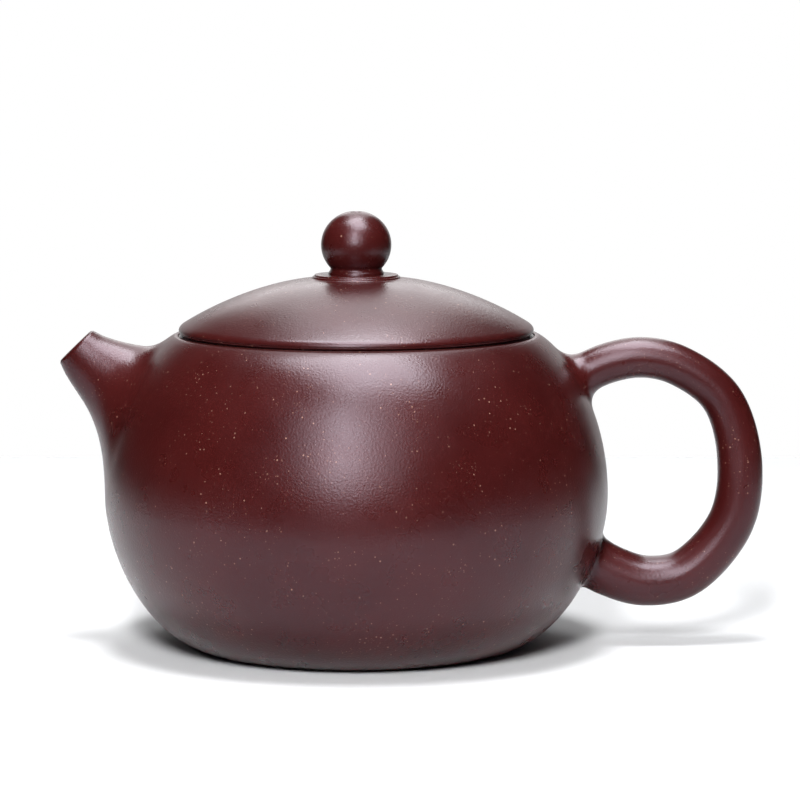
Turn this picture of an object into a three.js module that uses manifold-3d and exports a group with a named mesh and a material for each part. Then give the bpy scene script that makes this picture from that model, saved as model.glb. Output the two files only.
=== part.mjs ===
// A round clay teapot: a squat pot with a short spout, a full ear handle and a loose domed lid.
// Millimetres, +Z up. The origin is on the pot's upright axis, at the plane that it stands on.
// The handle points to +X and the spout to -X.
import * as THREE from 'three';
import { mergeVertices } from 'three/addons/utils/BufferGeometryUtils.js';
import Module from 'manifold-3d';

// Pot: the outline of its wall, from the foot to the widest girth and on to the rim.
const BODY_RADIUS = 48.5;
const BELLY_HEIGHT = 29.6;
const RIM_HEIGHT = 60.28;
const STAND_RADIUS = 28.6;
const FOOT_SLOPE = 4; // degrees
const FOOT_FLARE = 10.8;
const BELLY_FULLNESS = 12.6;
const SHOULDER_FULLNESS = 17.6;
const RIM_SLOPE = 21; // degrees
const RIM_RUN = 4.4;
const WALL = 3;

// Foot: a flat ring round a shallow pressed hollow.
const FOOT_RING = 3.2;
const FOOT_HOLLOW = 0.8;
const FOOT_HOLLOW_SLOPE = 2.6;
const BASE_THICKNESS = 3.2;

// Mouth: the seat ring lies in a rebate of the shoulder disc, and the rim is the ledge round it.
const MOUTH_RADIUS = 29.5;
const SEAT_WIDTH = 3.9;
const RIM_LEDGE = 1.4;
const SEAT_RISE = 0.12; // above the rim
const SEAT_DEPTH = 2.4;
const SEAT_BACKING = 2.4;

// Lid
const LID_REST_GAP = 0.1;
const LID_SETBACK = 0.8; // of the lip, inside the rim
const LIP_THICKNESS = 0.6;
const DOME_OVERHANG = 0.15;
const DOME_EDGE_HEIGHT = 1.24;
const DOME_EDGE_DEPTH = 0.86;
const DOME_SLOPE = 32; // degrees
const DOME_FULLNESS = 7.6;
const DOME_RISE = 9.91; // from the lip to the flat under the collar
const DOME_CROWN_SLOPE = 3.4; // degrees
const DOME_CROWN_RUN = 8.2;
const LID_WALL = 2.8;
const FLANGE_THICKNESS = 2.4;
const FLANGE_DEPTH = 7;
const FLANGE_CLEARANCE = 0.35;

// Knob
const VENT_RADIUS = 1.1;
const COLLAR_RADIUS = 8.5;
const COLLAR_THICKNESS = 0.84;
const COLLAR_TAPER = 0.4;
const KNOB_RADIUS = 6.75;
const KNOB_FLATTENING = 0.963;
const NECK_RADIUS = 4.98;
const NECK_HEIGHT = 1.25;
const NECK_FLARE = 0.7;

// Spout: a short cone on a gently curved axis.
const SPOUT_REACH = 5.3; // from the belly to the middle of the tip
const SPOUT_TIP_DROP = 2.2; // of the middle of the tip, below the rim
const SPOUT_TIP_RADIUS = 4.05;
const SPOUT_TIP_WALL = 1.2;
const SPOUT_TIP_LIFT = 52; // degrees above level
const SPOUT_BEND_RUN = 6.4; // from the tip to the bend of the axis
const SPOUT_ROOT_RADIUS = 12.6;
const SPOUT_ROOT_WALL = 3.2;
const SPOUT_ROOT_DEPTH = 7.5; // of the end of the axis, inside the wall's outer face
const SPOUT_NARROWING = 0.86; // width across, as a share of the height

// Opening behind the spout, with the ball strainer over it
const OPENING_RADIUS = 7.2;
const OPENING_DROP = 11; // of its centre, below the rim
const STRAINER_LAP = 0.3; // of its inside, beyond the opening
const STRAINER_WALL = 1.5;
const STRAINER_HOLE_RADIUS = 1;
const STRAINER_RINGS = [[1, 0], [6, 28], [12, 55]]; // number of holes, degrees off the axis

// Handle: a round ear that grows thicker towards its lower end.
const HANDLE_REACH = 25.3; // from the belly to the middle of the bow
const HANDLE_TOP_DROP = 4.5; // of the highest point of the middle line, below the rim
const HANDLE_LOW_HEIGHT = 12.4; // of the lowest point of the middle line
const HANDLE_TOP_RADIUS = 3.9;
const HANDLE_LOW_RADIUS = 5.15;
const HANDLE_ROOT_DEPTH = 2.5; // of the ends of the middle line, inside the wall's outer face
const HANDLE_TOP_ROOT_DROP = 4.7; // of the upper end, below the highest point of the middle line
const HANDLE_LOW_ROOT_RISE = 5.1; // of the lower end, above its lowest point

const LUTING_GAP = 0.3; // between a fitted piece and the wall that it is luted to

// How finely the round pieces are faceted
const SIDES = 40;
const SMALL_SIDES = 24;
const WALL_STEPS = 6;
const DOME_STEPS = 8;
const SPOUT_STEPS = 5;
const HANDLE_SIDES = 16;
const HANDLE_STEPS = 30;
const KNOB_STEPS = 9;
const HOLE_SIDES = 8;

// Joints between the clay pieces of the pot, along the two curves of its outline
const BASE_JOINT = 0.25;
const SHOULDER_JOINT = 0.8;

const SEAT_RADIUS = MOUTH_RADIUS + SEAT_WIDTH;
const RIM_RADIUS = SEAT_RADIUS + RIM_LEDGE;
const SEAT_HEIGHT = RIM_HEIGHT + SEAT_RISE;
const MOUTH_UNDERSIDE = SEAT_HEIGHT - SEAT_DEPTH - SEAT_BACKING;
const LID_RADIUS = RIM_RADIUS - LID_SETBACK;
const STRAINER_RADIUS = OPENING_RADIUS + STRAINER_LAP + STRAINER_WALL;

const kernel = await Module();
kernel.setup();

const point = (radius, height) => new THREE.Vector2(radius, height);

const slope = (degrees, run) => {
  const angle = THREE.MathUtils.degToRad(degrees);
  return point(run * Math.cos(angle), run * Math.sin(angle));
};

const footRun = slope(FOOT_SLOPE, FOOT_FLARE);
const lowerSide = new THREE.CubicBezierCurve(
  point(STAND_RADIUS, 0),
  point(STAND_RADIUS + footRun.x, footRun.y),
  point(BODY_RADIUS, BELLY_HEIGHT - BELLY_FULLNESS),
  point(BODY_RADIUS, BELLY_HEIGHT),
);

const rimRun = slope(RIM_SLOPE, RIM_RUN);
const upperSide = new THREE.CubicBezierCurve(
  point(BODY_RADIUS, BELLY_HEIGHT),
  point(BODY_RADIUS, BELLY_HEIGHT + SHOULDER_FULLNESS),
  point(RIM_RADIUS + rimRun.x, RIM_HEIGHT - rimRun.y),
  point(RIM_RADIUS, RIM_HEIGHT),
);

// Points of a curve that runs upwards, moved towards the axis by a depth.
function inset(curve, from, to, steps, depth) {
  const points = [];
  for (let i = 0; i <= steps; i += 1) {
    const share = THREE.MathUtils.lerp(from, to, i / steps);
    const along = curve.getTangent(share);
    const spot = curve.getPoint(share);
    points.push(point(spot.x - along.y * depth, spot.y + along.x * depth));
  }
  return points;
}

// The pot's outline between its two joints, from the bottom up.
function wallOutline(depth) {
  const lower = inset(lowerSide, BASE_JOINT, 1, WALL_STEPS, depth);
  const upper = inset(upperSide, 0, SHOULDER_JOINT, WALL_STEPS, depth);
  return [...lower, ...upper.slice(1)];
}

// The share of the upper curve, and of the lower one, that lies below a height.
function shareBelow(curve, height) {
  let low = 0;
  let high = 1;
  for (let i = 0; i < 30; i += 1) {
    const middle = (low + high) / 2;
    if (curve.getPoint(middle).y < height) low = middle;
    else high = middle;
  }
  return low;
}

// Where the wall's outer face is at a height, and which way it faces there.
function wallAt(height) {
  const curve = height > BELLY_HEIGHT ? upperSide : lowerSide;
  const share = shareBelow(curve, height);
  const along = curve.getTangent(share);
  return { radius: curve.getPoint(share).x, out: along.y, up: -along.x };
}

// A solid of revolution about Z. The outline runs with the clay on its left.
function turned(outline, sides = SIDES) {
  return new THREE.LatheGeometry(outline, sides).rotateX(Math.PI / 2);
}

// The same for a piece with a hole down its axis: its outline closes on itself.
function turnedRing(outline, sides = SIDES) {
  return turned([...outline, outline[0]], sides);
}

// Bends a lathed shape, whose axis is Y from 0 to 1, along a curve in the upright middle plane.
function alongCurve(shape, curve, narrowing = 1) {
  const spots = shape.attributes.position;
  const across = new THREE.Vector3(0, 1, 0);
  for (let i = 0; i < spots.count; i += 1) {
    const share = THREE.MathUtils.clamp(spots.getY(i), 0, 1);
    const outwards = curve.getTangentAt(share).cross(across);
    const spot = curve.getPointAt(share);
    spot.addScaledVector(outwards, spots.getX(i));
    spot.addScaledVector(across, spots.getZ(i) * narrowing);
    spots.setXYZ(i, spot.x, spot.y, spot.z);
  }
  return shape;
}

function toSolid(shape) {
  const bare = shape.clone();
  bare.deleteAttribute('normal');
  bare.deleteAttribute('uv');
  const merged = mergeVertices(bare, 1e-4);
  const corners = merged.index.array;
  const triangles = [];
  for (let i = 0; i < corners.length; i += 3) {
    const [a, b, c] = corners.slice(i, i + 3);
    if (a !== b && b !== c && c !== a) triangles.push(a, b, c);
  }
  return new kernel.Manifold(new kernel.Mesh({
    numProp: 3,
    vertProperties: new Float32Array(merged.attributes.position.array),
    triVerts: new Uint32Array(triangles),
  }));
}

function toShape(solid) {
  const mesh = solid.getMesh();
  const shape = new THREE.BufferGeometry();
  shape.setAttribute('position', new THREE.BufferAttribute(mesh.vertProperties, 3));
  shape.setIndex(new THREE.BufferAttribute(mesh.triVerts, 1));
  shape.computeVertexNormals();
  return shape;
}

// Everything inside the wall's outer face, grown or shrunk by a depth.
function insideOf(depth) {
  const outline = [
    ...inset(lowerSide, 0, 1, 2 * WALL_STEPS, depth),
    ...inset(upperSide, 0, 1, 2 * WALL_STEPS, depth).slice(1),
  ];
  const floor = point(0, outline[0].y);
  const top = point(0, outline[outline.length - 1].y);
  return toSolid(turned([floor, ...outline, top]));
}

function baseDisc() {
  const floorHeight = FOOT_HOLLOW + BASE_THICKNESS;
  const ringInside = STAND_RADIUS - FOOT_RING;
  const outside = inset(lowerSide, 0, BASE_JOINT, 3, 0);
  const [joint] = inset(lowerSide, BASE_JOINT, BASE_JOINT, 1, WALL);
  return turned([
    point(0, FOOT_HOLLOW),
    point(ringInside - FOOT_HOLLOW_SLOPE, FOOT_HOLLOW),
    point(ringInside, 0),
    ...outside,
    joint,
    point(STAND_RADIUS, floorHeight),
    point(0, floorHeight),
  ]);
}

// The opening behind the spout: its centre on the wall's outer face and the way out of the pot.
function openingPlace() {
  const wall = wallAt(RIM_HEIGHT - OPENING_DROP);
  return {
    centre: new THREE.Vector3(-wall.radius, 0, RIM_HEIGHT - OPENING_DROP),
    outwards: new THREE.Vector3(-wall.out, 0, wall.up),
  };
}

// A round cutter about a line through a centre.
function drill(radius, length, centre, direction, sides) {
  const turn = new THREE.Quaternion().setFromUnitVectors(new THREE.Vector3(0, 1, 0), direction);
  const cutter = new THREE.CylinderGeometry(radius, radius, length, sides);
  cutter.applyQuaternion(turn).translate(centre.x, centre.y, centre.z);
  return toSolid(cutter);
}

function bodyWall() {
  const opening = openingPlace();
  const wall = toSolid(turnedRing([...wallOutline(0), ...wallOutline(WALL).reverse()]));
  const cutter = drill(OPENING_RADIUS, 4 * WALL, opening.centre, opening.outwards, SMALL_SIDES);
  return toShape(wall.subtract(cutter));
}

function shoulderDisc() {
  const seatBottom = SEAT_HEIGHT - SEAT_DEPTH;
  const [joint, underRim] = inset(upperSide, SHOULDER_JOINT, (1 + SHOULDER_JOINT) / 2, 1, WALL);
  return turnedRing([
    joint,
    ...inset(upperSide, SHOULDER_JOINT, 1, 3, 0),
    point(SEAT_RADIUS, RIM_HEIGHT),
    point(SEAT_RADIUS, seatBottom),
    point(MOUTH_RADIUS, seatBottom),
    point(MOUTH_RADIUS, MOUTH_UNDERSIDE),
    point(SEAT_RADIUS, MOUTH_UNDERSIDE),
    underRim,
  ]);
}

function mouthRing() {
  return turnedRing([
    point(MOUTH_RADIUS, SEAT_HEIGHT - SEAT_DEPTH),
    point(SEAT_RADIUS, SEAT_HEIGHT - SEAT_DEPTH),
    point(SEAT_RADIUS, SEAT_HEIGHT),
    point(MOUTH_RADIUS, SEAT_HEIGHT),
  ]);
}

// The middle line of the spout, from inside the wall to the tip.
function spoutAxis() {
  const { centre, outwards } = openingPlace();
  const tip = new THREE.Vector3(-(BODY_RADIUS + SPOUT_REACH), 0, RIM_HEIGHT - SPOUT_TIP_DROP);
  const lift = slope(SPOUT_TIP_LIFT, SPOUT_BEND_RUN);
  const bend = tip.clone().add(new THREE.Vector3(lift.x, 0, -lift.y));
  const root = centre.clone().addScaledVector(outwards, -SPOUT_ROOT_DEPTH);
  return new THREE.QuadraticBezierCurve3(root, bend, tip);
}

function spout() {
  const outside = [];
  const bore = [];
  for (let i = 0; i <= SPOUT_STEPS; i += 1) {
    const share = i / SPOUT_STEPS;
    const outer = THREE.MathUtils.lerp(SPOUT_ROOT_RADIUS, SPOUT_TIP_RADIUS, share);
    const thickness = THREE.MathUtils.lerp(SPOUT_ROOT_WALL, SPOUT_TIP_WALL, share);
    outside.push(point(outer, share));
    bore.unshift(point(outer - thickness, share));
  }
  const straight = new THREE.LatheGeometry([...outside, ...bore, outside[0]], SMALL_SIDES);
  const bent = toSolid(alongCurve(straight, spoutAxis(), SPOUT_NARROWING));
  return toShape(bent.subtract(insideOf(-LUTING_GAP)));
}

// A half ball that bulges into the pot, clear of the clay under the mouth. Its holes lie in rings
// about its axis.
function strainer() {
  const opening = openingPlace();
  const centre = opening.centre.clone().addScaledVector(opening.outwards, -WALL);
  const inwards = opening.outwards.clone().negate();
  const ball = (radius) => {
    const shape = new THREE.SphereGeometry(radius, SMALL_SIDES, SMALL_SIDES / 2);
    return toSolid(shape.translate(centre.x, centre.y, centre.z));
  };
  let shell = ball(STRAINER_RADIUS).subtract(ball(STRAINER_RADIUS - STRAINER_WALL));
  shell = shell.intersect(insideOf(WALL + LUTING_GAP));
  shell = shell.trimByPlane([0, 0, -1], LUTING_GAP - MOUTH_UNDERSIDE);
  for (const [count, tilt] of STRAINER_RINGS) {
    for (let i = 0; i < count; i += 1) {
      const side = new THREE.Vector3(0, 1, 0).applyAxisAngle(inwards, (2 * Math.PI * i) / count);
      const way = inwards.clone().applyAxisAngle(side, THREE.MathUtils.degToRad(tilt));
      const middle = centre.clone().addScaledVector(way, STRAINER_RADIUS);
      shell = shell.subtract(drill(STRAINER_HOLE_RADIUS, 4 * STRAINER_WALL, middle, way, HOLE_SIDES));
    }
  }
  return toShape(shell);
}

// The middle line of the handle: shares of its reach beyond the belly, and of its height.
function handleAxis() {
  const bow = [
    [0, 0.975], [0.26, 1], [0.53, 0.965], [0.85, 0.815], [1, 0.55],
    [0.93, 0.27], [0.6, 0.035], [0.28, 0], [0, 0.05],
  ];
  const topHeight = RIM_HEIGHT - HANDLE_TOP_DROP;
  const rootAt = (height) => {
    const wall = wallAt(height);
    return new THREE.Vector3(wall.radius - HANDLE_ROOT_DEPTH, 0, height);
  };
  const middleLine = bow.map(([out, up]) => new THREE.Vector3(
    BODY_RADIUS + HANDLE_REACH * out,
    0,
    THREE.MathUtils.lerp(HANDLE_LOW_HEIGHT, topHeight, up),
  ));
  const topRoot = rootAt(topHeight - HANDLE_TOP_ROOT_DROP);
  const lowRoot = rootAt(HANDLE_LOW_HEIGHT + HANDLE_LOW_ROOT_RISE);
  return new THREE.CatmullRomCurve3([topRoot, ...middleLine, lowRoot], false, 'centripetal');
}

function handle() {
  const outline = [point(0, 0)];
  for (let i = 0; i <= HANDLE_STEPS; i += 1) {
    const share = i / HANDLE_STEPS;
    outline.push(point(THREE.MathUtils.lerp(HANDLE_TOP_RADIUS, HANDLE_LOW_RADIUS, share), share));
  }
  outline.push(point(0, 1));
  const straight = new THREE.LatheGeometry(outline, HANDLE_SIDES);
  const bent = toSolid(alongCurve(straight, handleAxis()));
  return toShape(bent.subtract(insideOf(-LUTING_GAP)));
}

// Lid pieces stand on the plane of the lid plate's underside.
const domeRun = slope(DOME_SLOPE, DOME_FULLNESS);
const crownRun = slope(DOME_CROWN_SLOPE, DOME_CROWN_RUN);
const domeFoot = point(LID_RADIUS + DOME_OVERHANG, LIP_THICKNESS);
const domeEdge = point(domeFoot.x - DOME_EDGE_DEPTH, domeFoot.y + DOME_EDGE_HEIGHT);
const crown = point(COLLAR_RADIUS, LIP_THICKNESS + DOME_RISE);
const domeSide = new THREE.CubicBezierCurve(
  domeEdge,
  point(domeEdge.x - domeRun.x, domeEdge.y + domeRun.y),
  point(crown.x + crownRun.x, crown.y - crownRun.y),
  crown,
);
const flangeOutside = MOUTH_RADIUS - FLANGE_CLEARANCE;
const flangeInside = flangeOutside - FLANGE_THICKNESS;

function lidDome() {
  const inside = inset(domeSide, 0, 1, DOME_STEPS, LID_WALL);
  const hollow = inside.filter((spot) => spot.x < flangeInside);
  return turnedRing([
    point(flangeInside, LIP_THICKNESS),
    domeFoot,
    point(domeFoot.x - DOME_EDGE_DEPTH / 4, domeFoot.y + DOME_EDGE_HEIGHT * 0.6),
    ...inset(domeSide, 0, 1, DOME_STEPS, 0),
    point(VENT_RADIUS, crown.y),
    point(VENT_RADIUS, crown.y - LID_WALL),
    ...hollow.reverse(),
  ]);
}

function lidPlate() {
  return turnedRing([
    point(flangeInside, 0),
    point(LID_RADIUS, 0),
    point(LID_RADIUS, LIP_THICKNESS),
    point(flangeInside, LIP_THICKNESS),
  ]);
}

function lidFlange() {
  const chamfer = FLANGE_THICKNESS / 4;
  return turnedRing([
    point(flangeInside + chamfer, -FLANGE_DEPTH),
    point(flangeOutside - chamfer, -FLANGE_DEPTH),
    point(flangeOutside, chamfer - FLANGE_DEPTH),
    point(flangeOutside, 0),
    point(flangeInside, 0),
    point(flangeInside, chamfer - FLANGE_DEPTH),
  ]);
}

// The collar and the knob stand on the flat of the dome's crown.
function knobCollar() {
  return turnedRing([
    point(VENT_RADIUS, 0),
    point(COLLAR_RADIUS, 0),
    point(COLLAR_RADIUS - COLLAR_TAPER, COLLAR_THICKNESS),
    point(VENT_RADIUS, COLLAR_THICKNESS),
  ], SMALL_SIDES);
}

// A ball on a short flared neck, stopped at the top where the vent comes out.
function knob() {
  const from = Math.asin(NECK_RADIUS / KNOB_RADIUS) - Math.PI;
  const to = -Math.asin(VENT_RADIUS / KNOB_RADIUS);
  const height = KNOB_RADIUS * KNOB_FLATTENING;
  const centre = NECK_HEIGHT - height * Math.cos(from);
  const ball = [];
  for (let i = 0; i <= KNOB_STEPS; i += 1) {
    const angle = THREE.MathUtils.lerp(from, to, i / KNOB_STEPS);
    ball.push(point(-KNOB_RADIUS * Math.sin(angle), centre + height * Math.cos(angle)));
  }
  return turnedRing([
    point(VENT_RADIUS, 0),
    point(NECK_RADIUS + NECK_FLARE, 0),
    ...ball,
  ], SMALL_SIDES);
}

// Each piece has a finish of its own: burnished clay outside, plainer clay inside.
function piece(name, shape, colour, roughness) {
  const clay = new THREE.MeshStandardMaterial({ color: colour, roughness, metalness: 0 });
  const mesh = new THREE.Mesh(shape, clay);
  mesh.name = name;
  return mesh;
}

const BURNISHED = 0x5f3438;
const SCRAPED = 0x6b3f3c;

const pot = new THREE.Group();
pot.add(piece('base_disc', baseDisc(), SCRAPED, 0.6));
pot.add(piece('body_wall', bodyWall(), BURNISHED, 0.45));
pot.add(piece('shoulder_disc', shoulderDisc(), BURNISHED, 0.45));
pot.add(piece('mouth_ring', mouthRing(), SCRAPED, 0.5));
pot.add(piece('spout', spout(), BURNISHED, 0.45));
pot.add(piece('strainer', strainer(), SCRAPED, 0.7));
pot.add(piece('handle', handle(), BURNISHED, 0.42));

const lid = new THREE.Group();
lid.position.z = SEAT_HEIGHT + LID_REST_GAP;
lid.add(piece('lid_dome', lidDome(), BURNISHED, 0.45));
lid.add(piece('lid_plate', lidPlate(), BURNISHED, 0.5));
lid.add(piece('lid_flange', lidFlange(), SCRAPED, 0.6));

const grip = new THREE.Group();
grip.position.z = crown.y;
grip.add(piece('knob_collar', knobCollar(), BURNISHED, 0.45));
const ball = piece('knob', knob(), BURNISHED, 0.4);
ball.position.z = COLLAR_THICKNESS;
grip.add(ball);
lid.add(grip);

const teapot = new THREE.Group();
teapot.add(pot, lid);

export default teapot;
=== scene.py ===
import math

import bmesh
import bpy
import numpy as np
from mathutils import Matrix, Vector


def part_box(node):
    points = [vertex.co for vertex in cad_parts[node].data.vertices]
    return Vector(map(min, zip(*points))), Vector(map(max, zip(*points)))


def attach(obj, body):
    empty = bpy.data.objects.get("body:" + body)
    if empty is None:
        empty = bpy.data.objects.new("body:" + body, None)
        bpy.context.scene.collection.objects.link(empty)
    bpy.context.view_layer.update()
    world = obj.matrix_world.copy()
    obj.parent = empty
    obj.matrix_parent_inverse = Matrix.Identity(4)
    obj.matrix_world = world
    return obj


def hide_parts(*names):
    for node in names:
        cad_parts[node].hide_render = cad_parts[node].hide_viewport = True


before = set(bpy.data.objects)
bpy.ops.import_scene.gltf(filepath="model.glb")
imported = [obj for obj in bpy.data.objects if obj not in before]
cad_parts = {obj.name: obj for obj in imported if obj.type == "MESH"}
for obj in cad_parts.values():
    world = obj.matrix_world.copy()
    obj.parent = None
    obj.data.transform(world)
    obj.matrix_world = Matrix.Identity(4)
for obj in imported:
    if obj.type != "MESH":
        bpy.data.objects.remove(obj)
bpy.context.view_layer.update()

# Sizes are in millimetres until a mesh is made.
MM = 0.001


def low(node, axis):
    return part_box(node)[0]["xyz".index(axis)] / MM


def high(node, axis):
    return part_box(node)[1]["xyz".index(axis)] / MM


# ---------------------------------------------------------------- sizes of the pot and its lid

GIRTH_RADIUS = high("body_wall", "y")
GIRTH_HEIGHT = 29.6
WALL = 3.0
STAND_RADIUS = 28.6
RING_WIDTH = 3.2
HOLLOW_HEIGHT = 0.8
FLOOR_HEIGHT = 4.0
RIM_HEIGHT = high("shoulder_disc", "z")
RIM_RADIUS = 34.8
SEAT_RADIUS = high("mouth_ring", "y")
SEAT_HEIGHT = high("mouth_ring", "z")
SEAT_BOTTOM = low("mouth_ring", "z")
MOUTH_RADIUS = 29.5
MOUTH_UNDERSIDE = low("shoulder_disc", "z")
BASE_JOINT = 0.25
SHOULDER_JOINT = 0.8

LIP_RADIUS = high("lid_plate", "y")
LIP_BOTTOM = low("lid_plate", "z")
LIP_TOP = high("lid_plate", "z")
DOME_RADIUS = high("lid_dome", "y")
CROWN_HEIGHT = high("lid_dome", "z")
LID_WALL = 2.8
FLANGE_OUTSIDE = high("lid_flange", "y")
FLANGE_INSIDE = FLANGE_OUTSIDE - 2.4
FLANGE_BOTTOM = low("lid_flange", "z")
COLLAR_RADIUS = high("knob_collar", "y")
COLLAR_TOP = high("knob_collar", "z")
KNOB_RADIUS = high("knob", "y")
VENT_RADIUS = 1.1

TIP_RADIUS = 4.32
TIP_WALL = 1.2
TIP_TILT = math.radians(5.5)
TIP_LENGTH = 2.6
TIP_ROUNDING = 0.35
SPOUT_FLATTENING = 0.86
BORE_AT_ROOT = 9.2
OPENING_RADIUS = 7.2
OPENING_DROP = 11.0

UNEVENNESS = 0.00033
ACROSS = np.array([0.0, 1.0, 0.0])

ROUND_SIDES = 384
SMALL_SIDES = 128


# ---------------------------------------------------------------- outlines

def bezier(corners, count):
    a, b, c, d = np.asarray(corners, float)
    t = np.linspace(0, 1, count)[:, None]
    return (1 - t) ** 3 * a + 3 * (1 - t) ** 2 * t * b + 3 * (1 - t) * t**2 * c + t**3 * d


def slope(degrees, run):
    angle = math.radians(degrees)
    return run * math.cos(angle), run * math.sin(angle)


def lower_side(count):
    out, up = slope(4, 10.8)
    return bezier(
        [
            (STAND_RADIUS, 0),
            (STAND_RADIUS + out, up),
            (GIRTH_RADIUS, GIRTH_HEIGHT - 12.6),
            (GIRTH_RADIUS, GIRTH_HEIGHT),
        ],
        count,
    )


def upper_side(count):
    out, up = slope(21, 4.4)
    return bezier(
        [
            (GIRTH_RADIUS, GIRTH_HEIGHT),
            (GIRTH_RADIUS, GIRTH_HEIGHT + 17.6),
            (RIM_RADIUS + out, RIM_HEIGHT - up),
            (RIM_RADIUS, RIM_HEIGHT),
        ],
        count,
    )


CURVE_STEPS = 600
LOWER_SIDE = lower_side(CURVE_STEPS + 1)
UPPER_SIDE = upper_side(CURVE_STEPS + 1)


def offset(line, depth):
    """A line that runs upwards, moved towards the axis."""
    along = np.gradient(line, axis=0)
    along /= np.linalg.norm(along, axis=1)[:, None]
    return line + depth * np.stack([-along[:, 1], along[:, 0]], axis=1)


def stretch(line, start, end, count, depth=0.0):
    """Points of a side between two shares of its length, with a close pair at each end so that the
    shading runs on smoothly into the next piece."""
    shares = np.linspace(start, end, count)
    close = 0.001
    shares = np.concatenate([[start, start + close], shares[1:-1], [end - close, end]])
    rows = shares * (len(line) - 1)
    moved = offset(line, depth)
    whole = np.minimum(rows.astype(int), len(line) - 2)
    part = (rows - whole)[:, None]
    return moved[whole] * (1 - part) + moved[whole + 1] * part


def softened(corners, closed=True):
    """An outline from (radius, height, softening) corners: each corner is turned into an arc."""
    count = len(corners)
    spots = np.array([corner[:2] for corner in corners], float)
    line = []
    for i, corner in enumerate(corners):
        soft = corner[2] if len(corner) > 2 else 0
        ends = not closed and i in (0, count - 1)
        if soft <= 0 or ends:
            line.append(spots[i])
            continue
        before = spots[i - 1] - spots[i]
        after = spots[(i + 1) % count] - spots[i]
        before_length = np.linalg.norm(before)
        after_length = np.linalg.norm(after)
        reach = min(soft, 0.49 * before_length, 0.49 * after_length)
        first = spots[i] + before / before_length * reach
        last = spots[i] + after / after_length * reach
        for t in np.linspace(0, 1, 7):
            line.append((1 - t) ** 2 * first + 2 * (1 - t) * t * spots[i] + t**2 * last)
    return np.array(line)


def join(*parts):
    return np.concatenate([np.atleast_2d(np.asarray(part, float)) for part in parts])


# ---------------------------------------------------------------- meshes

def hand_wobble(spots):
    """The slight unevenness of clay shaped by hand: points move inwards, by 0.2 mm at most."""
    x, y, z = spots.T
    turn = np.arctan2(y, x)
    wave = np.sin(2 * turn + 0.7 + 0.03 * z) + 0.8 * np.sin(3 * turn - 1.9 + 0.09 * z)
    wave += 0.7 * np.cos(5 * turn + 0.11 * z) + 0.5 * np.sin(0.21 * z + 1.1)
    inwards = 1 - UNEVENNESS * (3 + wave)
    return np.stack([x * inwards, y * inwards, z], axis=1)


def finish_mesh(mesh, sharp_degrees=38):
    shell = bmesh.new()
    shell.from_mesh(mesh)
    bmesh.ops.recalc_face_normals(shell, faces=shell.faces)
    shell.to_mesh(mesh)
    shell.free()
    mesh.polygons.foreach_set("use_smooth", [True] * len(mesh.polygons))
    mesh.set_sharp_from_angle(angle=math.radians(sharp_degrees))
    mesh.update()


def add_object(name, mesh):
    made = bpy.data.objects.new(name, mesh)
    bpy.context.scene.collection.objects.link(made)
    return made


def shaped(name, spots, faces, clay):
    mesh = bpy.data.meshes.new(name)
    mesh.from_pydata((hand_wobble(np.asarray(spots)) * MM).tolist(), [], faces)
    mesh.materials.append(clay)
    finish_mesh(mesh)
    return add_object(name, mesh)


def ring_faces(ring_count, sides, first_ring=0):
    faces = []
    for ring in range(first_ring, first_ring + ring_count - 1):
        for side in range(sides):
            after = (side + 1) % sides
            faces.append((
                ring * sides + side,
                ring * sides + after,
                (ring + 1) * sides + after,
                (ring + 1) * sides + side,
            ))
    return faces


# ---------------------------------------------------------------- geometry nodes

def new_tree(name, inputs):
    tree = bpy.data.node_groups.new(name, "GeometryNodeTree")
    tree.interface.new_socket("Geometry", in_out="INPUT", socket_type="NodeSocketGeometry")
    for label, kind in inputs:
        tree.interface.new_socket(label, in_out="INPUT", socket_type=kind)
    tree.interface.new_socket("Geometry", in_out="OUTPUT", socket_type="NodeSocketGeometry")
    return tree


def add_node(tree, kind, links=None, **settings):
    """Adds a node. Links are {input: an output socket or a plain value}."""
    made = tree.nodes.new(kind)
    for key, value in settings.items():
        setattr(made, key, value)
    for key, value in (links or {}).items():
        socket = made.inputs[key]
        if isinstance(value, bpy.types.NodeSocket):
            tree.links.new(value, socket)
        else:
            socket.default_value = value
    return made


def arithmetic(tree, operation, first, second=0.0):
    made = add_node(tree, "ShaderNodeMath", {0: first, 1: second}, operation=operation)
    return made.outputs[0]


def close_tree(tree, geometry, clay):
    real = add_node(tree, "GeometryNodeRealizeInstances", {"Geometry": geometry})
    coated = add_node(
        tree, "GeometryNodeSetMaterial", {"Geometry": real.outputs[0], "Material": clay}
    )
    add_node(tree, "NodeGroupOutput", {"Geometry": coated.outputs[0]})


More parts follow.
